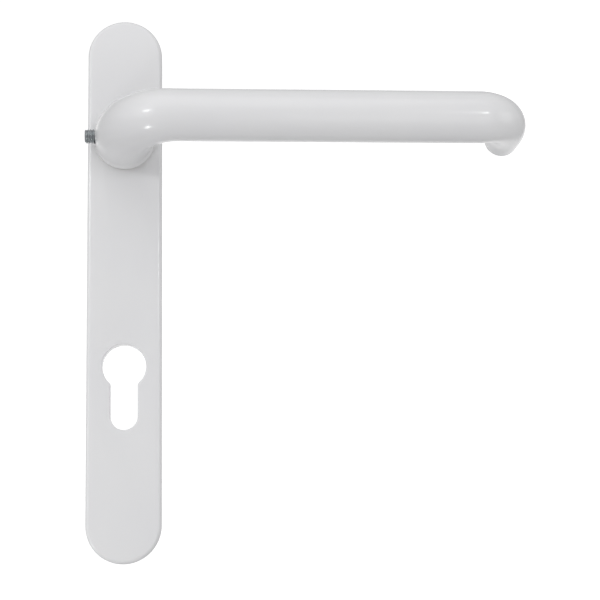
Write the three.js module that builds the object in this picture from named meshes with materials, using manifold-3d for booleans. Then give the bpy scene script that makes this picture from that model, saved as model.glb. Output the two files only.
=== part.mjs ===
// Lever door handle on a narrow round-ended backplate with a cylinder cut-out.
//
// Millimetres. The origin is on the spindle axis, in the plane of the door face that the
// backplate's rim lies against. +X runs along the lever, -Y is the front, towards the person
// at the door, and +Z is up. Everything that turns with the lever turns about the Y axis.

import * as THREE from "three";
import { mergeVertices } from "three/addons/utils/BufferGeometryUtils.js";
import Module from "manifold-3d";

const wasm = await Module();
wasm.setup();

// ---- driving dimensions ----------------------------------------------------------------

// Backplate: a shallow hollow casting, open at the back
const PLATE_WIDTH = 30;
const PLATE_TOP = 50;
const PLATE_BOTTOM = -170;
const PLATE_DEPTH = 10;
const FRONT_WALL = 2;
const SIDE_WALL = 2.7;
const RIM_WALL = 1.5;
const GASKET_STEP_DEPTH = 1.6;
const EDGE_ROUND = 1.6;
const LEVER_HOLE_R = 9.3;
const RIB_THICKNESS = 1.4;
const RIB_HEIGHT = 3;
const RIB_HEIGHTS_Z = [-48, -68, -134];

// Cylinder cut-out: a circle with a slot below it, 92 mm under the spindle
const CYLINDER_Z = -92;
const CYLINDER_R = 8.75;
const SLOT_HALF_WIDTH = 5.4;
const SLOT_BOTTOM_Z = -117.3;
const SLOT_FILLET_R = 1.5;
const COLLAR_WALL = 1.5;
const COLLAR_BACK_Y = -3;

// Lever: a 20 mm round bar, bent out of the neck and bent back at its free end
const BAR_R = 10;
const BAR_AXIS_Y = -52;
const NECK_BASE_Y = -10.9;
const NECK_BASE_R = 12.4;
const NECK_STRAIGHT = 4.6;
const NECK_BEND_R = 11.9;
const NECK_BEND_X = 20.3;
const NECK_SWELL = 0.3;
const NECK_HANDLE = 0.29;
const NECK_BASE_CHAMFER = 0.4;
const END_BEND_X = 138.5;
const END_BEND_WIDTH = 12.5;
const END_BEND_DEPTH = 19.5;
const END_STRAIGHT = 7;
const END_DROP = 2;
const END_SLOPE = 0.21;
const END_R = 6.45;
const END_ROUND = 1.2;

// Drive hub: the steel stub fixed in the neck, through the plate and the cassette
const HUB_R = 8;
const HUB_FRONT_Y = -26;
const HUB_BACK_Y = 0;
const HUB_FLATS_FRONT_Y = -3.95;
const HUB_HALF_FLATS = 6.5;
const RING_GROOVE_R = 7.2;
const RING_GROOVE_Y = [-1.2, -0.35];
const HUB_FRONT_CHAMFER = 1;
const HUB_BACK_CHAMFER = 0.3;
const FIT_GAP = 0.1;

// Spindle and the grub screw that holds it
const SPINDLE_SIDE = 8;
const SPINDLE_FRONT_Y = -25;
const SPINDLE_BACK_Y = 74;
const SPINDLE_CHAMFER = 0.8;
const SQUARE_HOLE_SIDE = 8.3;
const SQUARE_HOLE_END_GAP = 0.3;
const GRUB_Y = -16.2;
const GRUB_OUTER_X = -15.7;
const GRUB_LENGTH = 8;
const GRUB_R = 2.95;
const GRUB_CHAMFER = 0.7;
const GRUB_HOLE_R = 3.15;
const GRUB_HOLE_X = [-23.6, -3.6];
const GRUB_SOCKET_R = 1.73;
const GRUB_SOCKET_DEPTH = 2.5;

// Nylon neck bush
const BUSH_BORE_R = 8.2;
const BUSH_SLEEVE_R = 9;
const BUSH_FLANGE_R = 12.1;
const BUSH_FRONT_Y = -10.7;
const BUSH_FLANGE_BACK_Y = -10.2;
const BUSH_BACK_Y = -7.9;

// Spring cassette, screwed to four pads on the inside of the plate
const CASSETTE_HALF_WIDTH = 11.8;
const CASSETTE_TOP_Z = 16.5;
const CASSETTE_BOTTOM_Z = -21;
const CASSETTE_CORNER_R = 3;
const CASSETTE_FRONT_Y = -7.3;
const CASSETTE_FLOOR_Y = -6.6;
const CASSETTE_BACK_Y = -2.7;
const CHAMBER_HALF_WIDTH = 11;
const CHAMBER_TOP_Z = 11.2;
const CHAMBER_BOTTOM_Z = -15.9;
const CHAMBER_CORNER_R = 1.5;
const CASSETTE_HOLE_R = 8.4;
const STOP_INNER_X = 9.5;
const STOP_Z = [-9.6, -6.2];
const LID_Y = [-2.5, -1.9];
const SCREW_X = 8.2;
const SCREW_TOP_Z = 13.8;
const SCREW_BOTTOM_Z = -18.4;
const SCREW_R = 1.4;
const SCREW_HOLE_R = 1.6;
const SCREW_HEAD_R = 2.3;
const SCREW_HEAD_Y = [-1.75, -0.6];
const SCREW_TIP_Y = -9.1;
const SCREW_TIP_CHAMFER = 0.4;
const SCREW_TIP_GAP = 0.2;
const SCREW_HEAD_CHAMFER = 0.25;
const CROSS_SLOT_HALF_WIDTH = 0.35;
const CROSS_SLOT_REACH = 1.5;
const CROSS_SLOT_DEPTH = 0.7;
const PAD_R = 2.8;
const PAD_BACK_Y = -7.5;

// Return spring: two turns of round wire, its legs either side of the anchor pin
const WIRE_R = 0.55;
const COIL_R = 9.6;
const COIL_FRONT_Y = -5.85;
const COIL_PITCH = 1.25;
const COIL_TURNS = 2;
const LEG_X = 1.75;
const LEG_END_R = 15.1;
const LEG_STRAIGHT_START = 2.6;
const LEG_BEND = [0.1, 0.9];
const ANCHOR_R = 1.1;
const ANCHOR_Z = -13.7;

// Follower: the plate that turns with the hub and pushes the spring's legs
const FOLLOWER_Y = [-3.75, -2.9];
const FOLLOWER_R = 10.1;
const FOLLOWER_ARM_R = 11.5;
const FOLLOWER_ARM_HALF_WIDTH = 1.3;
const FOLLOWER_TAB_INNER_R = 10.4;
const FOLLOWER_TAB_HALF_WIDTH = 1;
const FOLLOWER_TAB_FRONT_Y = -6.4;

// Washer and ring that hold the hub in the plate
const WASHER_Y = -1.65;
const WASHER_THICKNESS = 0.25;
const WASHER_WAVE = 0.08;
const WASHER_R = [8.35, 10.4];
const RING_Y = [-1.1, -0.45];
const RING_R = [7.35, 9.1];
const RING_GAP_HALF_ANGLE = 0.32;
const RING_EYE_R = 1.15;
const RING_EYE_HOLE_R = 0.575;
const RING_EYE_DISTANCE = 9.3;
const RING_EYE_ANGLE = 0.12;

// Threaded pillars that the fixing bolts screw into from the other side of the door
const PILLAR_INSET = 15;
const PILLAR_R = 4.5;
const PILLAR_BOSS_R = 6.2;
const PILLAR_BOSS_BACK_Y = -4;
const PILLAR_FRONT_Y = -7.8;
const PILLAR_BACK_Y = 6;
const PILLAR_CHAMFER = 0.6;
const PILLAR_HOLE_R = 2.1;
const PILLAR_HOLE_FRONT_Y = -6;

// Rubber gasket in the step of the rim
const GASKET_OUTER_GAP = 0.15;
const GASKET_WIDTH = 0.9;
const GASKET_FRONT_Y = -1.4;

// Faceting
const ROUND_SEGMENTS = 36;
const SMALL_SEGMENTS = 16;
const ARC_SEGMENTS = 10;
const SMALL_ARC_SEGMENTS = 6;
const CORNER_SEGMENTS = 2;
const BAR_SEGMENTS = 28;
const CUT_MARGIN = 1;

// How far a cubic curve's handles reach along each side of a quarter circle
const QUARTER_CIRCLE_HANDLE = 0.5523;

// ---- materials -------------------------------------------------------------------------

const whitePowderCoat = { color: 0xe3e3e5, roughness: 0.35, metalness: 0 };
const zincPlatedSteel = { color: 0xa3a6a6, roughness: 0.35, metalness: 1 };
const blackenedSteel = { color: 0x55585a, roughness: 0.45, metalness: 1 };
const diecastZinc = { color: 0x9a9c9e, roughness: 0.5, metalness: 1 };
const whiteNylon = { color: 0xe9e7df, roughness: 0.5, metalness: 0 };
const blackRubber = { color: 0x262626, roughness: 0.85, metalness: 0 };

// ---- geometry helpers ------------------------------------------------------------------

// Six times the volume enclosed by a closed mesh; negative when its faces point inwards.
function signedVolume(geometry) {
  const p = geometry.getAttribute("position");
  const index = geometry.index.array;
  const [a, b, c] = [new THREE.Vector3(), new THREE.Vector3(), new THREE.Vector3()];
  let sum = 0;
  for (let i = 0; i < index.length; i += 3) {
    a.fromBufferAttribute(p, index[i]);
    b.fromBufferAttribute(p, index[i + 1]);
    c.fromBufferAttribute(p, index[i + 2]);
    sum += a.dot(b.cross(c));
  }
  return sum;
}

// A three.js geometry as a solid: shared vertices merged, faces pointing out.
function solid(geometry) {
  const g = geometry.clone();
  g.deleteAttribute("normal");
  g.deleteAttribute("uv");
  const merged = mergeVertices(g, 1e-4);
  const triVerts = Uint32Array.from(merged.index.array);
  if (signedVolume(merged) < 0) {
    triVerts.reverse();
  }
  const vertProperties = Float32Array.from(merged.getAttribute("position").array);
  return new wasm.Manifold(new wasm.Mesh({ numProp: 3, vertProperties, triVerts }));
}

// A solid as a three.js geometry.
function geometryOf(manifold) {
  const mesh = manifold.getMesh();
  const g = new THREE.BufferGeometry();
  g.setAttribute("position", new THREE.BufferAttribute(Float32Array.from(mesh.vertProperties), 3));
  g.setIndex(new THREE.BufferAttribute(Uint32Array.from(mesh.triVerts), 1));
  g.computeVertexNormals();
  return g;
}

// A flat outline drawn in X and Z, made solid between two depths along Y.
function slab(shape, frontY, backY, curveSegments = ARC_SEGMENTS) {
  const settings = { depth: backY - frontY, bevelEnabled: false, curveSegments };
  const g = new THREE.ExtrudeGeometry(shape, settings);
  g.rotateX(Math.PI / 2);
  g.translate(0, backY, 0);
  return solid(g);
}

// A profile of [radius, y] points turned about the Y axis, then moved to (x, z).
function turned(profile, x = 0, z = 0, segments = ROUND_SEGMENTS) {
  const points = profile.map(([r, y]) => new THREE.Vector2(r, y));
  const g = new THREE.LatheGeometry(points, segments);
  g.translate(x, 0, z);
  return solid(g);
}

// A round rod along Y.
function rod(r, frontY, backY, x = 0, z = 0, segments = ROUND_SEGMENTS) {
  return turned([[0, frontY], [r, frontY], [r, backY], [0, backY]], x, z, segments);
}

// A box between two corners.
function block(low, high) {
  const size = high.map((value, i) => value - low[i]);
  const g = new THREE.BoxGeometry(...size);
  g.translate(...low.map((value, i) => value + size[i] / 2));
  return solid(g);
}

// ---- outlines in X and Z ---------------------------------------------------------------

// The plate's long outline with full-round ends, moved inwards by an inset.
function plateOutline(inset) {
  const r = PLATE_WIDTH / 2 - inset;
  const topCentre = PLATE_TOP - PLATE_WIDTH / 2;
  const bottomCentre = PLATE_BOTTOM + PLATE_WIDTH / 2;
  const shape = new THREE.Shape();
  shape.moveTo(r, bottomCentre);
  shape.lineTo(r, topCentre);
  shape.absarc(0, topCentre, r, 0, Math.PI, false);
  shape.lineTo(-r, bottomCentre);
  shape.absarc(0, bottomCentre, r, Math.PI, 2 * Math.PI, false);
  return shape;
}

// The cylinder cut-out, grown outwards by a margin: a circle, two small fillets and a
// round-bottomed slot.
function cylinderOutline(grow) {
  const r = CYLINDER_R + grow;
  const w = SLOT_HALF_WIDTH + grow;
  const f = SLOT_FILLET_R - Math.min(grow, SLOT_FILLET_R / 2);
  const slotCentreZ = SLOT_BOTTOM_Z + SLOT_HALF_WIDTH;
  const filletDrop = Math.sqrt((r + f) ** 2 - (w + f) ** 2);
  const filletZ = CYLINDER_Z - filletDrop;
  const meetAngle = Math.atan2(filletDrop, w + f);
  const shape = new THREE.Shape();
  shape.moveTo(w, slotCentreZ);
  shape.lineTo(w, filletZ);
  shape.absarc(w + f, filletZ, f, Math.PI, Math.PI - meetAngle, true);
  shape.absarc(0, CYLINDER_Z, r, -meetAngle, Math.PI + meetAngle, false);
  shape.absarc(-w - f, filletZ, f, meetAngle, 0, true);
  shape.lineTo(-w, slotCentreZ);
  shape.absarc(0, slotCentreZ, w, Math.PI, 2 * Math.PI, false);
  return shape;
}

// A rectangle with rounded corners.
function roundedRectangle(halfWidth, bottomZ, topZ, r) {
  const shape = new THREE.Shape();
  shape.moveTo(halfWidth, bottomZ + r);
  shape.lineTo(halfWidth, topZ - r);
  shape.absarc(halfWidth - r, topZ - r, r, 0, Math.PI / 2, false);
  shape.lineTo(-halfWidth + r, topZ);
  shape.absarc(-halfWidth + r, topZ - r, r, Math.PI / 2, Math.PI, false);
  shape.lineTo(-halfWidth, bottomZ + r);
  shape.absarc(-halfWidth + r, bottomZ + r, r, Math.PI, 1.5 * Math.PI, false);
  shape.lineTo(halfWidth - r, bottomZ);
  shape.absarc(halfWidth - r, bottomZ + r, r, 1.5 * Math.PI, 2 * Math.PI, false);
  return shape;
}

const screwPlaces = [
  [-SCREW_X, SCREW_TOP_Z],
  [SCREW_X, SCREW_TOP_Z],
  [-SCREW_X, SCREW_BOTTOM_Z],
  [SCREW_X, SCREW_BOTTOM_Z],
];

const pillarPlaces = { upper: PLATE_TOP - PILLAR_INSET, lower: PLATE_BOTTOM + PILLAR_INSET };

// ---- backplate -------------------------------------------------------------------------

// The outside of the plate, its front edge rounded and its back cut off flat.
function plateBlank() {
  const g = new THREE.ExtrudeGeometry(plateOutline(0), {
    depth: PLATE_DEPTH,
    bevelEnabled: true,
    bevelThickness: EDGE_ROUND,
    bevelSize: EDGE_ROUND,
    bevelOffset: -EDGE_ROUND,
    bevelSegments: 3,
    curveSegments: ARC_SEGMENTS,
  });
  g.rotateX(Math.PI / 2);
  g.translate(0, EDGE_ROUND, 0);
  const behind = block([-PLATE_WIDTH, 0, PLATE_BOTTOM - 1], [PLATE_WIDTH, PLATE_DEPTH, PLATE_TOP + 1]);
  return solid(g).subtract(behind);
}

function makeBackplate() {
  const insideY = -PLATE_DEPTH + FRONT_WALL;
  const rootY = insideY - FRONT_WALL / 2;
  let body = plateBlank();
  body = body.subtract(slab(plateOutline(SIDE_WALL), insideY, CUT_MARGIN));
  body = body.subtract(slab(plateOutline(RIM_WALL), -GASKET_STEP_DEPTH, CUT_MARGIN));
  body = body.add(slab(cylinderOutline(COLLAR_WALL), rootY, COLLAR_BACK_Y, SMALL_ARC_SEGMENTS));
  for (const z of RIB_HEIGHTS_Z) {
    const reach = PLATE_WIDTH / 2 - SIDE_WALL / 2;
    const low = [-reach, rootY, z - RIB_THICKNESS / 2];
    const high = [reach, insideY + RIB_HEIGHT, z + RIB_THICKNESS / 2];
    body = body.add(block(low, high));
  }
  for (const [x, z] of screwPlaces) {
    body = body.add(rod(PAD_R, rootY, PAD_BACK_Y, x, z, SMALL_SEGMENTS));
    body = body.subtract(rod(SCREW_HOLE_R, SCREW_TIP_Y - SCREW_TIP_GAP, 0, x, z, SMALL_SEGMENTS));
  }
  for (const z of Object.values(pillarPlaces)) {
    body = body.add(rod(PILLAR_BOSS_R, rootY, PILLAR_BOSS_BACK_Y, 0, z));
    body = body.subtract(rod(PILLAR_R + FIT_GAP, insideY, 0, 0, z));
  }
  const through = -PLATE_DEPTH - CUT_MARGIN;
  body = body.subtract(slab(cylinderOutline(0), through, CUT_MARGIN, SMALL_ARC_SEGMENTS));
  return body.subtract(rod(LEVER_HOLE_R, through, 0));
}

// ---- lever -----------------------------------------------------------------------------

// The lever's centre line, from the foot of the neck to the free end.
function leverCentreLine() {
  const v = (x, y, z = 0) => new THREE.Vector3(x, y, z);
  const foot = v(0, NECK_BASE_Y);
  const neckTop = v(0, NECK_BASE_Y - NECK_STRAIGHT);
  const rise = neckTop.y - BAR_AXIS_Y;
  const barStart = v(NECK_BEND_X, BAR_AXIS_Y);
  const barEnd = v(END_BEND_X, BAR_AXIS_Y);
  const down = v(0, 1, -END_SLOPE).normalize();
  const returnTop = v(END_BEND_X + END_BEND_WIDTH, BAR_AXIS_Y + END_BEND_DEPTH, -END_DROP);
  const tip = returnTop.clone().addScaledVector(down, END_STRAIGHT);
  const neckHandles = [
    v(0, neckTop.y - NECK_HANDLE * rise),
    v(NECK_HANDLE * NECK_BEND_X, BAR_AXIS_Y),
  ];
  const endHandles = [
    v(END_BEND_X + QUARTER_CIRCLE_HANDLE * END_BEND_WIDTH, BAR_AXIS_Y),
    returnTop.clone().addScaledVector(down, -QUARTER_CIRCLE_HANDLE * END_BEND_DEPTH),
  ];
  const line = new THREE.CurvePath();
  line.add(new THREE.LineCurve3(foot, neckTop));
  line.add(new THREE.CubicBezierCurve3(neckTop, ...neckHandles, barStart));
  line.add(new THREE.LineCurve3(barStart, barEnd));
  line.add(new THREE.CubicBezierCurve3(barEnd, ...endHandles, returnTop));
  line.add(new THREE.LineCurve3(returnTop, tip));
  return line;
}

// A straight turned bar, widest at the neck and tapered at the free end, whose every
// cross-section is then carried onto the centre line.
function makeLeverBar() {
  const line = leverCentreLine();
  const reach = line.getCurveLengths();
  const length = line.getLength();
  const [neckStart, barStart, barEnd, returnStart] = reach;
  const c = NECK_BASE_CHAMFER;
  const profile = [[0, 0], [NECK_BASE_R - c, 0], [NECK_BASE_R, c], [NECK_BEND_R, neckStart]];
  const neckSteps = 14;
  for (let i = 1; i <= neckSteps; i++) {
    const t = i / neckSteps;
    const r = NECK_BEND_R + (BAR_R - NECK_BEND_R) * t + NECK_SWELL * Math.sin(Math.PI * t);
    profile.push([r, neckStart + (barStart - neckStart) * t]);
  }
  profile.push([BAR_R, barEnd]);
  const taperedR = (s) => BAR_R + ((END_R - BAR_R) * (s - barEnd)) / (length - barEnd);
  const endSteps = 10;
  for (let i = 1; i <= endSteps; i++) {
    const s = barEnd + ((returnStart - barEnd) * i) / endSteps;
    profile.push([taperedR(s), s]);
  }
  profile.push([taperedR(length - END_ROUND), length - END_ROUND]);
  const roundMiddle = (1 - Math.SQRT1_2) * END_ROUND;
  profile.push([END_R - roundMiddle, length - roundMiddle]);
  profile.push([END_R - END_ROUND, length]);
  profile.push([0, length]);
  const points = profile.map(([r, s]) => new THREE.Vector2(r, s));
  const bar = new THREE.LatheGeometry(points, BAR_SEGMENTS);
  const position = bar.getAttribute("position");
  const up = new THREE.Vector3(0, 0, 1);
  for (let i = 0; i < position.count; i++) {
    const u = THREE.MathUtils.clamp(position.getY(i) / length, 0, 1);
    const along = line.getTangentAt(u);
    const side = new THREE.Vector3().crossVectors(up, along).normalize();
    const upright = new THREE.Vector3().crossVectors(along, side);
    const place = line.getPointAt(u);
    place.addScaledVector(side, position.getX(i));
    place.addScaledVector(upright, position.getZ(i));
    position.setXYZ(i, place.x, place.y, place.z);
  }
  return solid(bar);
}

// A round hole along X for the grub screw, from outside the neck to past the spindle's face.
function grubHole() {
  const [left, right] = GRUB_HOLE_X;
  const g = new THREE.CylinderGeometry(GRUB_HOLE_R, GRUB_HOLE_R, right - left, SMALL_SEGMENTS);
  g.rotateZ(Math.PI / 2);
  g.translate((left + right) / 2, GRUB_Y, 0);
  return solid(g);
}

function makeLever() {
  const socket = rod(HUB_R + FIT_GAP, HUB_FRONT_Y - FIT_GAP, HUB_BACK_Y);
  return makeLeverBar().subtract(socket).subtract(grubHole());
}

function makeDriveHub() {
  const [grooveFront, grooveBack] = RING_GROOVE_Y;
  const c = HUB_FRONT_CHAMFER;
  let body = turned([
    [0, HUB_FRONT_Y], [HUB_R - c, HUB_FRONT_Y], [HUB_R, HUB_FRONT_Y + c],
    [HUB_R, grooveFront], [RING_GROOVE_R, grooveFront], [RING_GROOVE_R, grooveBack],
    [HUB_R, grooveBack], [HUB_R - HUB_BACK_CHAMFER, HUB_BACK_Y], [0, HUB_BACK_Y],
  ]);
  for (const side of [-1, 1]) {
    const edges = [side * HUB_HALF_FLATS, side * 2 * HUB_R];
    const low = [Math.min(...edges), HUB_FLATS_FRONT_Y, -HUB_R];
    const high = [Math.max(...edges), CUT_MARGIN, HUB_R];
    body = body.subtract(block(low, high));
  }
  const half = SQUARE_HOLE_SIDE / 2;
  const holeFront = SPINDLE_FRONT_Y - SQUARE_HOLE_END_GAP;
  body = body.subtract(block([-half, holeFront, -half], [half, CUT_MARGIN, half]));
  return body.subtract(grubHole());
}

// A socket set screw with chamfered ends and a hexagon socket in its outer end.
function makeGrubScrew() {
  const c = GRUB_CHAMFER;
  const profile = [
    [0, 0], [GRUB_R - c, 0], [GRUB_R, c], [GRUB_R, GRUB_LENGTH - c],
    [GRUB_R - c, GRUB_LENGTH], [0, GRUB_LENGTH],
  ];
  const body = turned(profile, 0, 0, SMALL_SEGMENTS);
  const socket = rod(GRUB_SOCKET_R, -CUT_MARGIN, GRUB_SOCKET_DEPTH, 0, 0, 6);
  const g = geometryOf(body.subtract(socket));
  g.rotateZ(-Math.PI / 2);
  g.translate(GRUB_OUTER_X, GRUB_Y, 0);
  return solid(g);
}

// A square bar with chamfered ends.
function makeSpindle() {
  const half = SPINDLE_SIDE / 2 - SPINDLE_CHAMFER;
  const square = new THREE.Shape();
  square.moveTo(-half, -half);
  square.lineTo(half, -half);
  square.lineTo(half, half);
  square.lineTo(-half, half);
  const g = new THREE.ExtrudeGeometry(square, {
    depth: SPINDLE_BACK_Y - SPINDLE_FRONT_Y - 2 * SPINDLE_CHAMFER,
    bevelEnabled: true,
    bevelThickness: SPINDLE_CHAMFER,
    bevelSize: SPINDLE_CHAMFER,
    bevelSegments: 1,
    curveSegments: 1,
  });
  g.rotateX(Math.PI / 2);
  g.translate(0, SPINDLE_BACK_Y - SPINDLE_CHAMFER, 0);
  return solid(g);
}

// ---- bearing and retaining pieces ------------------------------------------------------

function makeNeckBush() {
  const profile = [
    [BUSH_BORE_R, BUSH_FRONT_Y], [BUSH_FLANGE_R, BUSH_FRONT_Y],
    [BUSH_FLANGE_R, BUSH_FLANGE_BACK_Y], [BUSH_SLEEVE_R, BUSH_FLANGE_BACK_Y],
    [BUSH_SLEEVE_R, BUSH_BACK_Y], [BUSH_BORE_R, BUSH_BACK_Y],
  ];
  return turned([...profile, profile[0]]);
}

// A thin spring washer with three waves round it.
function makeWaveWasher() {
  const [inner, outer] = WASHER_R;
  const half = WASHER_THICKNESS / 2;
  const corners = [[inner, -half], [outer, -half], [outer, half], [inner, half], [inner, -half]];
  const points = corners.map(([r, y]) => new THREE.Vector2(r, y));
  const g = new THREE.LatheGeometry(points, ROUND_SEGMENTS);
  const position = g.getAttribute("position");
  for (let i = 0; i < position.count; i++) {
    const angle = Math.atan2(position.getZ(i), position.getX(i));
    position.setY(i, position.getY(i) + WASHER_Y + WASHER_WAVE * Math.sin(3 * angle));
  }
  return solid(g);
}

// An external snap ring: a flat open ring with two eyes beside its gap, gap upwards.
function makeRetainingRing() {
  const [inner, outer] = RING_R;
  const open = Math.PI / 2 + RING_GAP_HALF_ANGLE;
  const close = Math.PI / 2 - RING_GAP_HALF_ANGLE + 2 * Math.PI;
  const shape = new THREE.Shape();
  shape.absarc(0, 0, outer, open, close, false);
  shape.absarc(0, 0, inner, close, open, true);
  const [front, back] = RING_Y;
  let body = slab(shape, front, back);
  for (const angle of [open + RING_EYE_ANGLE, close - RING_EYE_ANGLE]) {
    const x = RING_EYE_DISTANCE * Math.cos(angle);
    const z = RING_EYE_DISTANCE * Math.sin(angle);
    body = body.add(rod(RING_EYE_R, front, back, x, z, SMALL_SEGMENTS));
    const hole = rod(RING_EYE_HOLE_R, front - 1, back + 1, x, z, SMALL_SEGMENTS / 2);
    body = body.subtract(hole);
  }
  return body;
}

// ---- spring cassette -------------------------------------------------------------------

function cassetteOutline() {
  const r = CASSETTE_CORNER_R;
  return roundedRectangle(CASSETTE_HALF_WIDTH, CASSETTE_BOTTOM_Z, CASSETTE_TOP_Z, r);
}

function cutScrewHoles(body) {
  let cut = body;
  for (const [x, z] of screwPlaces) {
    cut = cut.subtract(rod(SCREW_HOLE_R, -PLATE_DEPTH, CUT_MARGIN, x, z, SMALL_SEGMENTS));
  }
  return cut;
}

// A tray with the spring chamber in its back and two stops for the follower's arm.
function makeCassetteHousing() {
  const r = CHAMBER_CORNER_R;
  const chamberShape = roundedRectangle(CHAMBER_HALF_WIDTH, CHAMBER_BOTTOM_Z, CHAMBER_TOP_Z, r);
  let body = slab(cassetteOutline(), CASSETTE_FRONT_Y, CASSETTE_BACK_Y, CORNER_SEGMENTS);
  body = body.subtract(slab(chamberShape, CASSETTE_FLOOR_Y, CUT_MARGIN, CORNER_SEGMENTS));
  const [stopLow, stopHigh] = STOP_Z;
  const stopRoot = (CHAMBER_HALF_WIDTH + CASSETTE_HALF_WIDTH) / 2;
  const stopFront = (CASSETTE_FRONT_Y + CASSETTE_FLOOR_Y) / 2;
  const left = block([-stopRoot, stopFront, stopLow], [-STOP_INNER_X, CASSETTE_BACK_Y, stopHigh]);
  const right = block([STOP_INNER_X, stopFront, stopLow], [stopRoot, CASSETTE_BACK_Y, stopHigh]);
  body = body.add(left).add(right);
  body = body.subtract(rod(CASSETTE_HOLE_R, CASSETTE_FRONT_Y - 1, CUT_MARGIN));
  const pinHoleR = ANCHOR_R + FIT_GAP;
  body = body.subtract(rod(pinHoleR, CASSETTE_FRONT_Y - 1, CUT_MARGIN, 0, ANCHOR_Z, SMALL_SEGMENTS));
  return cutScrewHoles(body);
}

function makeCassetteLid() {
  const [front, back] = LID_Y;
  const body = slab(cassetteOutline(), front, back, CORNER_SEGMENTS);
  return cutScrewHoles(body.subtract(rod(CASSETTE_HOLE_R, front - 1, back + 1)));
}

// A cheese-head screw with a cross slot.
function makeCassetteScrew(x, z) {
  const [headFront, headBack] = SCREW_HEAD_Y;
  const tip = SCREW_TIP_CHAMFER;
  const c = SCREW_HEAD_CHAMFER;
  const profile = [
    [0, SCREW_TIP_Y], [SCREW_R - tip, SCREW_TIP_Y], [SCREW_R, SCREW_TIP_Y + tip],
    [SCREW_R, headFront], [SCREW_HEAD_R, headFront], [SCREW_HEAD_R, headBack - c],
    [SCREW_HEAD_R - c, headBack], [0, headBack],
  ];
  const body = turned(profile, x, z, SMALL_SEGMENTS);
  const slot = CROSS_SLOT_HALF_WIDTH;
  const reach = CROSS_SLOT_REACH;
  const slotFront = headBack - CROSS_SLOT_DEPTH;
  const across = block([x - reach, slotFront, z - slot], [x + reach, 1, z + slot]);
  const upright = block([x - slot, slotFront, z - reach], [x + slot, 1, z + reach]);
  return body.subtract(across).subtract(upright);
}

function makeAnchorPin() {
  return rod(ANCHOR_R, CASSETTE_FRONT_Y, CASSETTE_BACK_Y, 0, ANCHOR_Z, SMALL_SEGMENTS);
}

// Two turns of wire whose ends turn outwards, either side of the anchor pin.
function makeReturnSpring() {
  const startAngle = Math.asin(LEG_X / COIL_R);
  const sweep = COIL_TURNS * 2 * Math.PI - 2 * startAngle;
  const [bendOut, bendDown] = LEG_BEND;
  const steps = 22;
  const coilDepth = COIL_PITCH * (COIL_TURNS - 1);
  const endY = COIL_FRONT_Y + coilDepth;
  const points = [];
  points.push(new THREE.Vector3(LEG_X, COIL_FRONT_Y, -LEG_END_R));
  points.push(new THREE.Vector3(LEG_X, COIL_FRONT_Y, -COIL_R - LEG_STRAIGHT_START));
  points.push(new THREE.Vector3(LEG_X + bendOut, COIL_FRONT_Y, -COIL_R - bendDown));
  for (let i = 1; i < steps; i++) {
    const t = i / steps;
    const angle = startAngle + sweep * t;
    const y = COIL_FRONT_Y + coilDepth * t;
    points.push(new THREE.Vector3(COIL_R * Math.sin(angle), y, -COIL_R * Math.cos(angle)));
  }
  points.push(new THREE.Vector3(-LEG_X - bendOut, endY, -COIL_R - bendDown));
  points.push(new THREE.Vector3(-LEG_X, endY, -COIL_R - LEG_STRAIGHT_START));
  points.push(new THREE.Vector3(-LEG_X, endY, -LEG_END_R));
  const wire = new THREE.Shape();
  wire.absarc(0, 0, WIRE_R, 0, 2 * Math.PI, false);
  const g = new THREE.ExtrudeGeometry(wire, {
    steps: 76,
    curveSegments: 4,
    extrudePath: new THREE.CatmullRomCurve3(points),
  });
  return solid(g);
}

// A disc with an arm, a tab bent forwards between the spring's legs, and a flatted hole.
function makeFollower() {
  const [front, back] = FOLLOWER_Y;
  let body = rod(FOLLOWER_R, front, back);
  const arm = FOLLOWER_ARM_HALF_WIDTH;
  body = body.add(block([-arm, front, -FOLLOWER_ARM_R], [arm, back, -HUB_R]));
  const tab = FOLLOWER_TAB_HALF_WIDTH;
  const tabLow = [-tab, FOLLOWER_TAB_FRONT_Y, -FOLLOWER_ARM_R];
  body = body.add(block(tabLow, [tab, back, -FOLLOWER_TAB_INNER_R]));
  const halfFlats = HUB_HALF_FLATS + FIT_GAP;
  const reach = FOLLOWER_R + CUT_MARGIN;
  const between = block([-halfFlats, front - 1, -reach], [halfFlats, back + 1, reach]);
  return body.subtract(rod(HUB_R + FIT_GAP, front - 1, back + 1).intersect(between));
}

// ---- fixing pillars and gasket ---------------------------------------------------------

function makePillar(z) {
  const c = PILLAR_CHAMFER;
  const body = turned([
    [0, PILLAR_FRONT_Y], [PILLAR_R, PILLAR_FRONT_Y], [PILLAR_R, PILLAR_BACK_Y - c],
    [PILLAR_R - c, PILLAR_BACK_Y], [0, PILLAR_BACK_Y],
  ], 0, z);
  const hole = rod(PILLAR_HOLE_R, PILLAR_HOLE_FRONT_Y, PILLAR_BACK_Y + 1, 0, z, SMALL_SEGMENTS);
  return body.subtract(hole);
}

function makeGasket() {
  const outer = RIM_WALL + GASKET_OUTER_GAP;
  const inner = outer + GASKET_WIDTH;
  const body = slab(plateOutline(outer), GASKET_FRONT_Y, 0);
  return body.subtract(slab(plateOutline(inner), GASKET_FRONT_Y - 1, 1));
}

// ---- assembly --------------------------------------------------------------------------

const group = new THREE.Group();

function place(name, manifold, finish) {
  const mesh = new THREE.Mesh(geometryOf(manifold), new THREE.MeshStandardMaterial(finish));
  mesh.name = name;
  group.add(mesh);
}

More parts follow.
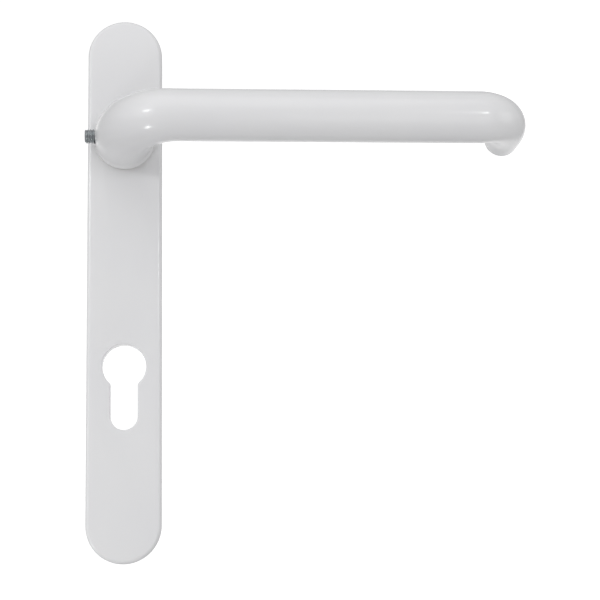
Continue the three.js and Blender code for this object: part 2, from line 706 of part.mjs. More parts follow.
place("backplate", makeBackplate(), whitePowderCoat);
place("lever", makeLever(), whitePowderCoat);
place("drive_hub", makeDriveHub(), zincPlatedSteel);
place("grub_screw", makeGrubScrew(), zincPlatedSteel);
place("spindle", makeSpindle(), zincPlatedSteel);
place("neck_bush", makeNeckBush(), whiteNylon);
place("cassette_housing", makeCassetteHousing(), diecastZinc);
place("cassette_lid", makeCassetteLid(), zincPlatedSteel);
place("return_spring", makeReturnSpring(), blackenedSteel);
place("anchor_pin", makeAnchorPin(), zincPlatedSteel);
place("follower", makeFollower(), zincPlatedSteel);
place("wave_washer", makeWaveWasher(), blackenedSteel);
place("retaining_ring", makeRetainingRing(), blackenedSteel);
screwPlaces.forEach(([x, z], i) => {
  place(`cassette_screw_${i + 1}`, makeCassetteScrew(x, z), zincPlatedSteel);
});
for (const [end, z] of Object.entries(pillarPlaces)) {
  place(`${end}_pillar`, makePillar(z), zincPlatedSteel);
}
place("rim_gasket", makeGasket(), blackRubber);

export default group;
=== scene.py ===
"""Looks of a white powder-coated lever handle on a narrow round-ended backplate.

Everything is in metres in the frame of the CAD: the origin is on the spindle axis at the door
face, +X runs along the lever, -Y is the front and +Z is up.
"""

import math

import bmesh
import bpy
import numpy as np
from mathutils import Matrix, Vector
from mathutils.geometry import tessellate_polygon


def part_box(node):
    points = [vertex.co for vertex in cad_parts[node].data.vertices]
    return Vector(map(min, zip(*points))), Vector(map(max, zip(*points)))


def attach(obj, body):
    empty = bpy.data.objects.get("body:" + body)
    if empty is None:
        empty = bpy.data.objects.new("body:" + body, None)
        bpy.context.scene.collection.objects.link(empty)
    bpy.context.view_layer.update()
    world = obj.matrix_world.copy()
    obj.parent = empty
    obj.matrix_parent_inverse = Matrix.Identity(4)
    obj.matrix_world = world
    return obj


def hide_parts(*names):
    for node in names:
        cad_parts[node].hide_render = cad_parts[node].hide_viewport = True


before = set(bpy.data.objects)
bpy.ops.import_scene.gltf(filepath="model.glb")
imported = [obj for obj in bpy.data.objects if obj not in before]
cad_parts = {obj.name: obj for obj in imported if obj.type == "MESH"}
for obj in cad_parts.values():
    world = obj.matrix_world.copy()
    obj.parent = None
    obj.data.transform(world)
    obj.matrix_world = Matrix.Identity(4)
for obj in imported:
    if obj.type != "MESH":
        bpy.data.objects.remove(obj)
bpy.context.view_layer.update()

MM = 0.001
TURN = 2 * math.pi

# ---- sizes read from the frame ----------------------------------------------------------

plate_low, plate_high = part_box("backplate")
hub_low, hub_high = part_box("drive_hub")
spindle_low, spindle_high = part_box("spindle")
grub_low, grub_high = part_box("grub_screw")
bush_low, bush_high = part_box("neck_bush")
lid_low, lid_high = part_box("cassette_lid")
housing_low, housing_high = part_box("cassette_housing")
gasket_low, gasket_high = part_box("rim_gasket")
washer_low, washer_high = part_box("wave_washer")
ring_low, ring_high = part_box("retaining_ring")

FRONT_Y = plate_low.y
END_R = plate_high.x
FLOOR_Y = FRONT_Y + 2 * MM
END_CENTRES_Z = (plate_low.z + END_R, plate_high.z - END_R)

# Points nearer than this are one point: where surfaces meet, and in the slivers of a cut
SEAM_DISTANCE = 0.001 * MM
CUT_DISTANCE = 0.004 * MM
SHARP_DEGREES = 32

screw_boxes = [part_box(f"cassette_screw_{number}") for number in range(1, 5)]
screw_places = [((low.x + high.x) / 2, (low.z + high.z) / 2) for low, high in screw_boxes]

# ---- points and faces -------------------------------------------------------------------


class Shell:
    """The surfaces of one closed piece: grids of points, and flat faces between loops."""

    def __init__(self):
        self.points = []
        self.faces = []
        self.count = 0

    def add(self, points, faces):
        """Appends a surface, its face indices counted on from the points already there."""
        self.points.append(np.reshape(points, (-1, 3)))
        self.faces.extend((np.asarray(faces) + self.count).tolist())
        self.count += len(self.points[-1])

    def loft(self, rows):
        """Quads between the rows of a grid whose columns run round and close on themselves."""
        rows = np.asarray(rows)
        count, around = rows.shape[:2]
        r, c = np.meshgrid(np.arange(count - 1), np.arange(around), indexing="ij")
        here = r * around + c
        beside = r * around + (c + 1) % around
        quads = np.stack([here, beside, beside + around, here + around], -1)
        self.add(rows, quads.reshape(-1, 4))

    def fill(self, loops):
        """Triangles on the flat region inside the first loop and outside the others."""
        points = np.concatenate(loops)
        triangles = tessellate_polygon([[Vector(p) for p in loop] for loop in loops])
        self.add(points, triangles)


def clean(mesh, distance):
    """Merges points nearer than the distance, drops faces of no area, and turns all outwards."""
    bm = bmesh.new()
    bm.from_mesh(mesh)
    bmesh.ops.remove_doubles(bm, verts=bm.verts, dist=distance)
    bmesh.ops.dissolve_degenerate(bm, edges=bm.edges, dist=1e-8)
    bmesh.ops.recalc_face_normals(bm, faces=bm.faces)
    bm.to_mesh(mesh)
    bm.free()


def mesh_from(shell, name):
    """A mesh of the shell's surfaces, its seams and poles closed and its faces outwards."""
    mesh = bpy.data.meshes.new(name)
    mesh.from_pydata(np.concatenate(shell.points).tolist(), [], shell.faces)
    clean(mesh, SEAM_DISTANCE)
    return mesh


def smooth_shaded(mesh, sharp_degrees):
    """Smooth shading, apart from edges that turn by more than the given angle."""
    mesh.polygons.foreach_set("use_smooth", [True] * len(mesh.polygons))
    mesh.set_sharp_from_angle(angle=math.radians(sharp_degrees))


def piece_from(shell, name, body, slot, node, cutters=(), additions=()):
    """One finished piece: parts added, holes cut, shaded smooth, and standing for its node."""
    piece = bpy.data.objects.new(name, mesh_from(shell, name))
    bpy.context.scene.collection.objects.link(piece)
    for other in additions:
        combine(piece, other, "UNION")
    for other in cutters:
        combine(piece, other, "DIFFERENCE")
    if additions or cutters:
        clean(piece.data, CUT_DISTANCE)
    smooth_shaded(piece.data, SHARP_DEGREES)
    piece.data.materials.clear()
    piece.data.materials.append(finishes[slot])
    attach(piece, body)
    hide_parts(node)
    return piece


def combine(piece, other_shell, operation):
    """Adds the other shell's volume to the piece, or takes it out."""
    other = bpy.data.objects.new("other", mesh_from(other_shell, "other"))
    bpy.context.scene.collection.objects.link(other)
    change = piece.modifiers.new("combine", "BOOLEAN")
    change.operation = operation
    change.solver = "EXACT"
    change.object = other
    graph = bpy.context.evaluated_depsgraph_get()
    result = bpy.data.meshes.new_from_object(piece.evaluated_get(graph))
    piece.modifiers.remove(change)
    piece.data = result
    bpy.data.objects.remove(other)


# ---- outlines: closed loops of points in X and Z, with normals away from the material ----


def arc(x, z, r, start, end, count):
    """Points on a circle about (x, z), from one angle to another, the last one left out."""
    a = np.linspace(start, end, count, endpoint=False)
    return np.stack([x + r * np.cos(a), z + r * np.sin(a)], -1)


def with_normals(points, hole=False):
    """Normals of a counter-clockwise loop, from each point's neighbours on either side."""
    step = np.roll(points, -1, 0) - np.roll(points, 1, 0)
    normals = np.stack([step[:, 1], -step[:, 0]], -1)
    normals /= np.linalg.norm(normals, axis=1, keepdims=True)
    return points, -normals if hole else normals


def circle(r, x=0.0, z=0.0, count=96, hole=False):
    """A circle, whose normals are its own radii."""
    points = arc(x, z, r, 0, TURN, count)
    normals = (points - [x, z]) / r
    return points, -normals if hole else normals


def plate_outline(count=72):
    """Two half circles joined by straight sides: every normal is exact, so insets are too."""
    low, high = END_CENTRES_Z
    a = np.linspace(0, math.pi, count + 1)
    turn = np.stack([np.cos(a), np.sin(a)], -1)
    points = np.concatenate([turn * END_R + [0, high], -turn * END_R + [0, low]])
    return points, np.concatenate([turn, -turn])


def rounded_rectangle(half_width, bottom, top, r, count=10, hole=False):
    """Four quarter circles joined by straight sides."""
    quarter = math.pi / 2
    a = np.linspace(0, quarter, count + 1)
    centres = [(1, top), (-1, top), (-1, bottom), (1, bottom)]
    points, normals = [], []
    for i, (side, z) in enumerate(centres):
        turn = np.stack([np.cos(a + i * quarter), np.sin(a + i * quarter)], -1)
        inward = -r if z == top else r
        points.append(turn * r + [side * (half_width - r), z + inward])
        normals.append(turn)
    normals = np.concatenate(normals)
    return np.concatenate(points), -normals if hole else normals


def cylinder_outline():
    """A circle of radius r over a round-bottomed slot of half width w, with a fillet of
    radius f where they meet, whose centre is f outside the slot's side and the circle."""
    centre_z, r, w, bottom, f = -92 * MM, 8.75 * MM, 5.4 * MM, -117.3 * MM, 1.5 * MM
    drop = math.sqrt((r + f) ** 2 - (w + f) ** 2)
    meet = math.atan2(drop, w + f)
    a_fillet = np.linspace(math.pi, math.pi - meet, 9)
    a_circle = np.linspace(-meet, math.pi + meet, 97)[1:-1]
    a_slot = np.linspace(math.pi, TURN, 33)

    def turn(a):
        return np.stack([np.cos(a), np.sin(a)], -1)

    right = turn(a_fillet) * f + [w + f, centre_z - drop]
    left = turn(math.pi - a_fillet[::-1]) * f + [-w - f, centre_z - drop]
    points = [right, turn(a_circle) * r + [0, centre_z], left, turn(a_slot) * w + [0, bottom + w]]
    normals = [turn(a_fillet), -turn(a_circle), turn(math.pi - a_fillet[::-1]), -turn(a_slot)]
    return np.concatenate(points), np.concatenate(normals)


def carried(outline, profile):
    """Rows of a grid: the outline moved out along its normals and set at a depth in Y."""
    points, normals = outline
    rows = []
    for offset, y in profile:
        xz = points + offset * normals
        rows.append(np.stack([xz[:, 0], np.full(len(xz), y), xz[:, 1]], -1))
    return np.asarray(rows)


def capped(rows):
    """A closed shell: rows of rings, and a flat face over the first and the last."""
    shell = Shell()
    shell.loft(rows)
    shell.fill([rows[0]])
    shell.fill([rows[-1]])
    return shell


def rounding(r, y, towards, count=6):
    """A quarter circle in (offset, y), from a face at y round to a wall at offset 0."""
    a = np.linspace(0, math.pi / 2, count + 1)
    return [(-r + r * math.sin(t), y + towards * r * (1 - math.cos(t))) for t in a]


def flat_piece(outlines, front, back, edge):
    """A flat piece between two depths: a rounded wall on each outline, and two flat faces."""
    shell = Shell()
    profile = rounding(edge, front, 1) + rounding(edge, back, -1)[::-1]
    walls = [carried(outline, profile) for outline in outlines]
    for wall in walls:
        shell.loft(wall)
    shell.fill([wall[0] for wall in walls])
    shell.fill([wall[-1] for wall in walls])
    return shell


def turned_rows(profile, angles, x=0.0, z=0.0):
    """Rows of a turned surface about an axis along Y. A radius may be a function of angle."""
    rows = []
    for r, y in profile:
        radius = r(angles) if callable(r) else np.full(len(angles), r)
        depth = y(angles) if callable(y) else np.full(len(angles), y)
        rows.append(np.stack([x + radius * np.cos(angles), depth, z + radius * np.sin(angles)], -1))
    return np.asarray(rows)


def turned(profile, x=0.0, z=0.0, count=96):
    """A closed turned piece: its profile starts and ends on the axis, or on itself."""
    shell = Shell()
    shell.loft(turned_rows(profile, np.linspace(0, TURN, count, endpoint=False), x, z))
    return shell


def thread_wave(position, angles, pitch):
    """A V thread, flat at its root and crest: 0 in the root and 1 on the crest. The phase
    is the place along the axis in pitches, less the angle in turns."""
    phase = (position / pitch - angles / TURN) % 1.0
    steepness, root_flat = 2.6, 0.15
    return np.clip(steepness * np.abs(phase - 0.5) - root_flat, 0, 1)


# ---- materials --------------------------------------------------------------------------


def linear(hex_colour):
    """An sRGB hex colour as linear red, green, blue and alpha."""
    channels = [int(hex_colour[i : i + 2], 16) / 255 for i in (1, 3, 5)]
    shades = [c / 12.92 if c <= 0.04045 else ((c + 0.055) / 1.055) ** 2.4 for c in channels]
    return (*shades, 1.0)


def add_node(tree, kind, settings=None, inputs=None):
    """One node with its settings, and its inputs set to a value or linked to an output."""
    node = tree.nodes.new(kind)
    for name, value in (settings or {}).items():
        setattr(node, name, value)
    for name, value in (inputs or {}).items():
        if isinstance(value, bpy.types.NodeSocket):
            tree.links.new(value, node.inputs[name])
        else:
            node.inputs[name].default_value = value
    return node


def new_material(name):
    """An empty node material, its tree, and the place on the object that patterns read."""
    material = bpy.data.materials.new(name)
    material.use_nodes = True
    tree = material.node_tree
    tree.nodes.clear()
    place = add_node(tree, "ShaderNodeTexCoord").outputs["Object"]
    return material, tree, place


def shade(tree, inputs):
    """The surface shader and its output."""
    shader = add_node(tree, "ShaderNodeBsdfPrincipled", inputs=inputs)
    add_node(tree, "ShaderNodeOutputMaterial", inputs={"Surface": shader.outputs["BSDF"]})


def noise(tree, place, size_mm, detail=2.0, roughness=0.5):
    """Noise whose features are about size_mm across."""
    inputs = {"Vector": place, "Scale": 1000 / size_mm, "Detail": detail, "Roughness": roughness}
    return add_node(tree, "ShaderNodeTexNoise", inputs=inputs).outputs["Fac"]


def between(tree, value, low, high, from_low=0.3, from_high=0.7):
    """A number that goes from low to high as value goes through its middle range."""
    inputs = {
        "Value": value, "From Min": from_low, "From Max": from_high, "To Min": low, "To Max": high
    }
    return add_node(tree, "ShaderNodeMapRange", inputs=inputs).outputs["Result"]


def tinted(tree, value, low, high):
    """A colour that goes from low to high as value goes through its middle range."""
    ramp = add_node(tree, "ShaderNodeValToRGB", inputs={"Fac": value})
    ramp.color_ramp.elements[0].position = 0.3
    ramp.color_ramp.elements[0].color = linear(low)
    ramp.color_ramp.elements[1].position = 0.7
    ramp.color_ramp.elements[1].color = linear(high)
    return ramp.outputs["Color"]


def bumped(tree, height, depth_mm, under=None):
    """A relief depth_mm deep that follows height, laid over another relief if one is given."""
    inputs = {"Height": height, "Distance": depth_mm * MM, "Strength": 1.0}
    if under is not None:
        inputs["Normal"] = under
    return add_node(tree, "ShaderNodeBump", inputs=inputs).outputs["Normal"]


def powder_coated_aluminium():
    """White polyester powder coat, baked on cast aluminium: a smooth satin skin with the
    slow ripple called orange peel, about 1.6 mm from crest to crest. The powder's own grain
    is finer than 0.1 mm, and is drawn at 0.35 mm so that it shows."""
    material, tree, place = new_material("powder_coated_aluminium")
    peel = noise(tree, place, 1.6, detail=1.0)
    grain = noise(tree, place, 0.35, detail=2.0)
    cloud = noise(tree, place, 40, detail=2.0)
    ripple = bumped(tree, peel, 0.012)
    shade(tree, {
        "Base Color": tinted(tree, cloud, "#e6e6e8", "#e9e9ea"),
        "Roughness": between(tree, grain, 0.17, 0.22),
        "IOR": 1.5,
        "Normal": bumped(tree, grain, 0.002, under=ripple),
    })
    return material


def zinc_plated_steel():
    """Bright blue-passivated zinc on turned steel: a cool grey metal with faint cloudy
    patches 2.5 mm across and the fine grain of the plating, drawn at 0.25 mm to show."""
    material, tree, place = new_material("zinc_plated_steel")
    cloud = noise(tree, place, 2.5, detail=3.0)
    marks = noise(tree, place, 0.25, detail=2.0)
    shade(tree, {
        "Base Color": tinted(tree, cloud, "#aeb2b5", "#bcc0c2"),
        "Metallic": 1.0,
        "Roughness": between(tree, cloud, 0.28, 0.36),
        "Normal": bumped(tree, marks, 0.004),
    })
    return material


def oiled_spring_steel():
    """Oil-tempered spring steel: nearly black, with a soft sheen, brown-grey patches of oil
    about 2 mm across and the drawn wire's fine skin."""
    material, tree, place = new_material("oiled_spring_steel")
    cloud = noise(tree, place, 1.8, detail=3.0)
    shade(tree, {
        "Base Color": tinted(tree, cloud, "#4a4b4d", "#6a6866"),
        "Metallic": 1.0,
        "Roughness": between(tree, cloud, 0.34, 0.5),
        "Normal": bumped(tree, noise(tree, place, 0.2), 0.003),
    })
    return material


def diecast_zinc():
    """Bare die-cast zinc alloy: dull mid grey with flow clouds 6 mm across and a fine cast
    grain of 0.3 mm."""
    material, tree, place = new_material("diecast_zinc")
    cloud = noise(tree, place, 6, detail=4.0)
    grain = noise(tree, place, 0.3, detail=2.0)
    shade(tree, {
        "Base Color": tinted(tree, cloud, "#8d9092", "#a5a7a8"),
        "Metallic": 1.0,
        "Roughness": between(tree, grain, 0.48, 0.62),
        "Normal": bumped(tree, grain, 0.01),
    })
    return material


def moulded_nylon():
    """Natural white moulded nylon: waxy, slightly cream and a little translucent, with the
    mould's fine spark-eroded texture of 0.3 mm."""
    material, tree, place = new_material("moulded_nylon")
    grain = noise(tree, place, 0.3, detail=2.0)
    cloud = noise(tree, place, 5, detail=2.0)
    shade(tree, {
        "Base Color": tinted(tree, cloud, "#e4e1d6", "#ebe9e1"),
        "Roughness": between(tree, grain, 0.42, 0.55),
        "IOR": 1.53,
        "Subsurface Weight": 0.15,
        "Subsurface Scale": 0.002,
        "Normal": bumped(tree, grain, 0.004),
    })
    return material


def epdm_rubber():
    """Black EPDM seal rubber: matte, with a powdery bloom and a fine pebbled skin."""
    material, tree, place = new_material("epdm_rubber")
    grain = noise(tree, place, 0.35, detail=3.0)
    bloom = noise(tree, place, 7, detail=3.0)
    shade(tree, {
        "Base Color": tinted(tree, bloom, "#191919", "#2b2b2a"),
        "Roughness": between(tree, grain, 0.7, 0.9),
        "IOR": 1.52,
        "Normal": bumped(tree, grain, 0.02),
    })
    return material


def studio_paper_painted_glow(painted_glow):
    """Matt background paper: no sheen, and only the faint mottle of its fibres. The paper also
    glows of its own, painted light that is brightest round a point in the middle of the wall and
    fades out a metre away, so that the wall reads as plain white."""
    material, tree, place = new_material("studio_paper_painted_glow")
    fibre = noise(tree, place, 4, detail=3.0)
    reach, painted_glow_centre = 1.6, (0.15, 1.3, 0.12)
    inputs = {
        "Vector": place, "Scale": (1 / reach,) * 3, "Location": [-c / reach for c in painted_glow_centre]
    }
    from_glow_centre = add_node(tree, "ShaderNodeMapping", inputs=inputs).outputs["Vector"]
    fade = add_node(tree, "ShaderNodeTexGradient", {"gradient_type": "SPHERICAL"},
                    {"Vector": from_glow_centre})
    shade(tree, {
        "Base Color": tinted(tree, fibre, "#d6d6d6", "#dadada"),
        "Roughness": 0.9,
        "Specular IOR Level": 0.1,
        # Painted light: the paper glows of its own, brightest round the middle of the wall and
        # fading out about a metre from it
        "Emission Color": (1.0, 1.0, 1.0, 1.0),
        "Emission Strength": between(tree, fade.outputs["Fac"], 0.0, painted_glow, 0.38, 0.56),
    })
    return material


finishes = {
    "white_powder_coat": powder_coated_aluminium(),
    "zinc_plated_steel": zinc_plated_steel(),
    "spring_steel": oiled_spring_steel(),
    "diecast_zinc": diecast_zinc(),
    "white_nylon": moulded_nylon(),
    "black_rubber": epdm_rubber(),
}

# ---- lever ------------------------------------------------------------------------------

BAR_R = 10 * MM
BAR_AXIS_Y = -52 * MM
NECK_BASE_Y = -10.9 * MM
NECK_BASE_R = 12.4 * MM
NECK_BEND_R = 11.9 * MM
NECK_SWELL = 0.3 * MM
NECK_STRAIGHT = 4.6 * MM
NECK_BEND_X = 20.3 * MM
NECK_PULL = 0.29
FOOT_CHAMFER = 0.4 * MM
END_BEND_X = 138.5 * MM
END_BEND_WIDTH = 12.5 * MM
END_BEND_DEPTH = 19.5 * MM
END_STRAIGHT = 7 * MM
END_DROP = 2 * MM
END_SLOPE = 0.21
QUARTER_CIRCLE_PULL = 0.5523
TIP_R = 6.45 * MM
TIP_ROUND = 1.2 * MM
TIP_CROWN = 0.12 * MM
SOCKET_GAP = 0.1 * MM
SOCKET_MOUTH = 0.2 * MM


def bezier(a, b, c, d, count=200):
    """The cubic curve from a to d, pulled towards b and c."""
    t = np.linspace(0, 1, count)[:, None]
    return (1 - t) ** 3 * a + 3 * (1 - t) ** 2 * t * b + 3 * (1 - t) * t**2 * c + t**3 * d


def lever_centre_line():
    """Points along the centre line, their arc lengths, and those at which its stretches end.

    It rises straight from the foot, bends into the bar on a cubic, runs straight, bends back
    on a cubic close to a quarter of an ellipse, and ends straight."""
    foot = np.array([0, NECK_BASE_Y, 0])
    neck_top = foot - [0, NECK_STRAIGHT, 0]
    rise = neck_top[1] - BAR_AXIS_Y
    bar_start = np.array([NECK_BEND_X, BAR_AXIS_Y, 0])
    bar_end = np.array([END_BEND_X, BAR_AXIS_Y, 0])
    down = np.array([0, 1, -END_SLOPE]) / math.hypot(1, END_SLOPE)
    return_top = np.array([END_BEND_X + END_BEND_WIDTH, BAR_AXIS_Y + END_BEND_DEPTH, -END_DROP])
    tip = return_top + down * END_STRAIGHT
    neck = bezier(
        neck_top,
        neck_top - [0, NECK_PULL * rise, 0],
        bar_start * [NECK_PULL, 1, 1],
        bar_start,
    )
    end = bezier(
        bar_end,
        bar_end + [QUARTER_CIRCLE_PULL * END_BEND_WIDTH, 0, 0],
        return_top - down * QUARTER_CIRCLE_PULL * END_BEND_DEPTH,
        return_top,
    )
    stretches = [
        np.linspace(foot, neck_top, 30),
        neck,
        np.linspace(bar_start, bar_end, 200),
        end,
        np.linspace(return_top, tip, 40),
    ]
    line = np.concatenate([stretches[0]] + [s[1:] for s in stretches[1:]])
    steps = np.linalg.norm(np.diff(line, axis=0), axis=1)
    reach = np.concatenate([[0], np.cumsum(steps)])
    ends = np.cumsum([len(s) - 1 for s in stretches])
    return line, reach, reach[ends]


def lever_shell(around=112):
    """The bar's skin: circles square to the centre line. Their radius goes in straight steps
    from the foot to the bar and from the end bend to the tip, smoothed over nine rings, with
    half a sine wave added over the neck's bend. The foot has the socket for the hub in it."""
    line, reach, (neck_start, bar_start, bar_end, _, length) = lever_centre_line()
    stations = np.concatenate([
        np.linspace(FOOT_CHAMFER, neck_start, 8),
        np.linspace(neck_start, bar_start, 70)[1:],
        np.linspace(bar_start, bar_end, 60)[1:],
        np.linspace(bar_end, length - TIP_ROUND, 60)[1:],
    ])
    t = (stations - neck_start) / (bar_start - neck_start)
    swell = NECK_SWELL * np.sin(math.pi * np.clip(t, 0, 1))
    knots = [0, neck_start, bar_start, bar_end, length]
    radii = np.interp(stations, knots, [NECK_BASE_R, NECK_BEND_R, BAR_R, BAR_R, TIP_R]) + swell
    soft = np.hanning(9) / np.hanning(9).sum()
    radii = np.convolve(np.pad(radii, 4, mode="edge"), soft, mode="valid")

    foot_edge = [(NECK_BASE_R - FOOT_CHAMFER, 0), (NECK_BASE_R - 0.14 * MM, 0.12 * MM)]
    tip_edge = [
        (radii[-1] - 0.9 * TIP_ROUND * (1 - math.cos(a)), length - TIP_ROUND * (1 - math.sin(a)))
        for a in np.linspace(0, math.pi / 2, 9)[1:]
    ]
    tip_r = tip_edge[-1][0]
    tip_face = [(tip_r * k, length + TIP_CROWN * (1 - k**2)) for k in (0.66, 0.33, 0)]
    rings = foot_edge + list(zip(radii, stations)) + tip_edge + tip_face
    radius, station = np.array(rings).T
    on_line = np.minimum(station, length)

    def at_stations(values):
        return np.stack([np.interp(on_line, reach, column) for column in values.T], -1)

    along = at_stations(np.gradient(line, reach, axis=0))
    along /= np.linalg.norm(along, axis=1, keepdims=True)
    centres = at_stations(line) + along * (station - on_line)[:, None]
    side = np.cross([0, 0, 1], along)
    side /= np.linalg.norm(side, axis=1, keepdims=True)
    upright = np.cross(along, side)
    a = np.linspace(0, TURN, around, endpoint=False)
    turn = a[None, :, None]
    circles = np.cos(turn) * side[:, None] + np.sin(turn) * upright[:, None]
    skin = centres[:, None] + radius[:, None, None] * circles

    socket_r, socket_y = hub_high.x + SOCKET_GAP, hub_low.y - SOCKET_GAP
    socket = [
        (0, socket_y), (socket_r, socket_y), (socket_r, NECK_BASE_Y - 0.01 * MM),
        (socket_r + SOCKET_MOUTH, NECK_BASE_Y),
    ]
    shell = Shell()
    shell.loft(np.concatenate([turned_rows(socket, a), skin]))
    return shell


def rows_along_x(profile, angles, y):
    """Rings about an axis along X at depth y: a radius, which may vary round the ring, and
    the ring's place along X."""
    return [
        np.stack([np.full(len(angles), x), y + r * np.cos(angles), r * np.sin(angles)], -1)
        for r, x in profile
    ]


def rod_along_x(r, left, right, y, count=64):
    """A plain closed rod along X, used to cut the grub screw's hole."""
    a = np.linspace(0, TURN, count, endpoint=False)
    shell = Shell()
    shell.loft(rows_along_x([(0, left), (r, left), (r, right), (0, right)], a, y))
    return shell


grub_y = (grub_low.y + grub_high.y) / 2
GRUB_HOLE_R = grub_high.z + 0.12 * MM
neck_hole = rod_along_x(GRUB_HOLE_R, -20 * MM, -6 * MM, grub_y)
piece_from(lever_shell(), "lever_bar", "lever_assembly", "white_powder_coat", "lever",
           cutters=[neck_hole])

# ---- backplate --------------------------------------------------------------------------

SIDE_WALL = 2.7 * MM
RIM_WALL = 1.5 * MM
RIM_STEP_Y = -1.6 * MM
PLATE_EDGE = 1.7 * MM
FLOOR_ROOT = 0.8 * MM
COLLAR_WALL = 1.5 * MM
COLLAR_BACK_Y = -3 * MM
LEVER_HOLE_R = 9.3 * MM
BOSS_R = 6.2 * MM
BOSS_BACK_Y = -4 * MM
BOSS_RECESS = 1.6 * MM
BOSS_EDGE = 0.2 * MM
RIB_PLACES_Z = (-48 * MM, -68 * MM, -134 * MM)
RIB_HALF_THICKNESS = 0.7 * MM
RIB_HEIGHT = 3 * MM
PAD_R = 2.8 * MM
PAD_HEIGHT = 0.5 * MM


def backplate_shell():
    """One hollow casting: the outline's wall goes from the front face round the edge, over
    the rim and its gasket step to the inside, and each hole and boss has a wall of its own."""
    outside = rounding(PLATE_EDGE, FRONT_Y, 1, 12) + rounding(0.3 * MM, 0, -1, 3)[::-1]
    step = [(-RIM_WALL, 0), (-RIM_WALL, RIM_STEP_Y), (-SIDE_WALL, RIM_STEP_Y)]
    root = rounding(FLOOR_ROOT, FLOOR_Y, 1, 4)[::-1]
    inside = [(-SIDE_WALL - FLOOR_ROOT - o, y) for o, y in root]
    outer = carried(plate_outline(), outside + step + inside)
    collar = [(0, COLLAR_BACK_Y), (-COLLAR_WALL, COLLAR_BACK_Y), (-COLLAR_WALL, FLOOR_Y)]
    cut_out = carried(cylinder_outline(), rounding(0.5 * MM, FRONT_Y, 1, 5) + collar)
    lever_hole = carried(circle(LEVER_HOLE_R, count=90, hole=True),
                         rounding(0.4 * MM, FRONT_Y, 1, 4) + [(0, FLOOR_Y)])
    boss = [
        (0.5 * MM, FLOOR_Y), (0.15 * MM, FLOOR_Y + 0.15 * MM), (0, FLOOR_Y + 0.5 * MM),
        (0, BOSS_BACK_Y - BOSS_EDGE), (-BOSS_EDGE, BOSS_BACK_Y),
        (BOSS_EDGE - BOSS_RECESS, BOSS_BACK_Y), (-BOSS_RECESS, BOSS_BACK_Y - BOSS_EDGE),
        (-BOSS_RECESS, FLOOR_Y), (-BOSS_R, FLOOR_Y),
    ]
    bosses = [carried(circle(BOSS_R, z=z), boss) for z in END_CENTRES_Z]
    shell = Shell()
    for wall in [outer, cut_out, lever_hole] + bosses:
        shell.loft(wall)
    shell.fill([outer[0], cut_out[0], lever_hole[0]])
    shell.fill([outer[-1], cut_out[-1], lever_hole[-1]] + [wall[0] for wall in bosses])
    return shell


def rib_shell(z):
    """A low rib across the inside of the plate, sunk into its floor and its side walls."""
    rib = rounded_rectangle(
        END_R - 2 * MM, z - RIB_HALF_THICKNESS, z + RIB_HALF_THICKNESS, 0.2 * MM, 3
    )
    top = FLOOR_Y + RIB_HEIGHT
    return capped(carried(rib, [(0, FLOOR_Y - MM), (0, top - 0.3 * MM), (-0.15 * MM, top)]))


def pad_shell(x, z):
    """A low round pad that a cassette screw goes into, spread a little at its foot."""
    top = FLOOR_Y + PAD_HEIGHT
    pad = [(0.4 * MM, FLOOR_Y - MM), (0.4 * MM, FLOOR_Y), (0, top - 0.2 * MM), (0, top)]
    return capped(carried(circle(PAD_R, x, z, 48), pad))


ribs = [rib_shell(z) for z in RIB_PLACES_Z]
pads = [pad_shell(x, z) for x, z in screw_places]
piece_from(backplate_shell(), "backplate_casting", "plate_assembly", "white_powder_coat",
           "backplate", additions=ribs + pads)

# ---- grub screw, hub and spindle --------------------------------------------------------

M6_PITCH = 1.0 * MM
M6_THREAD_DEPTH = 0.55 * MM
M6_HALF_HEXAGON = 1.5 * MM
HUB_HALF_FLATS = 6.5 * MM
HUB_FLATS_Y = -3.95 * MM
HUB_FRONT_CHAMFER = 1 * MM
HUB_BACK_CHAMFER = 0.3 * MM
SQUARE_HOLE_HALF = 4.15 * MM
GROOVE_R = 7.2 * MM
GROOVE_FRONT_Y = -1.2 * MM
GROOVE_BACK_Y = -0.35 * MM
SPINDLE_CHAMFER = 0.8 * MM
SPINDLE_CORNER = 0.35 * MM


def grub_screw_shell(around=72):
    """An M6 socket set screw: rings along X whose radius carries the thread's helix, fading
    out at the chamfered ends, with a hexagon socket in the outer end."""
    left, length = grub_low.x, grub_high.x - grub_low.x
    root_r = grub_high.z - M6_THREAD_DEPTH
    chamfer_r = root_r - 0.05 * MM
    a = np.linspace(0, TURN, around, endpoint=False)
    hexagon = M6_HALF_HEXAGON / np.cos((a % (TURN / 6)) - TURN / 12)
    socket = [
        (0, 2.5 * MM), (hexagon * 0.5, 2.3 * MM), (hexagon, 2.0 * MM), (hexagon, 0.15 * MM),
        (hexagon + 0.15 * MM, 0), (chamfer_r, 0),
    ]
    threads = [
        (np.minimum(root_r + M6_THREAD_DEPTH * thread_wave(s, a, M6_PITCH),
                    chamfer_r + min(s, length - s)), s)
        for s in np.linspace(0, length, 150)
    ]
    profile = [(r, left + s) for r, s in socket + threads + [(0, length)]]
    shell = Shell()
    shell.loft(rows_along_x(profile, a, grub_y))
    return shell


piece_from(grub_screw_shell(), "grub_screw_threaded", "grub", "zinc_plated_steel", "grub_screw")


def square_radius(half, corner=0.12):
    """The radius of a square of half side half, as a function of angle, its corners eased."""
    def radius(angles):
        sharp = half / np.maximum(np.abs(np.cos(angles)), np.abs(np.sin(angles)))
        return np.minimum(sharp, half * (math.sqrt(2) - corner))
    return radius


def flatted_radius(r, half_flats):
    """The radius of a round bar with two flats facing +X and -X, as a function of angle."""
    def radius(angles):
        return np.minimum(r, half_flats / np.maximum(np.abs(np.cos(angles)), 1e-6))
    return radius


def angles_with_flats(r, half_flats, others=(), count=120):
    """Even angles, with extra ones at the four edges of the flats and at the others given."""
    edge = math.acos(half_flats / r)
    edges = [edge, math.pi - edge, math.pi + edge, TURN - edge]
    even = np.linspace(0, TURN, count, endpoint=False)
    return np.unique(np.round(np.concatenate([even, edges, np.radians(others)]), 6))


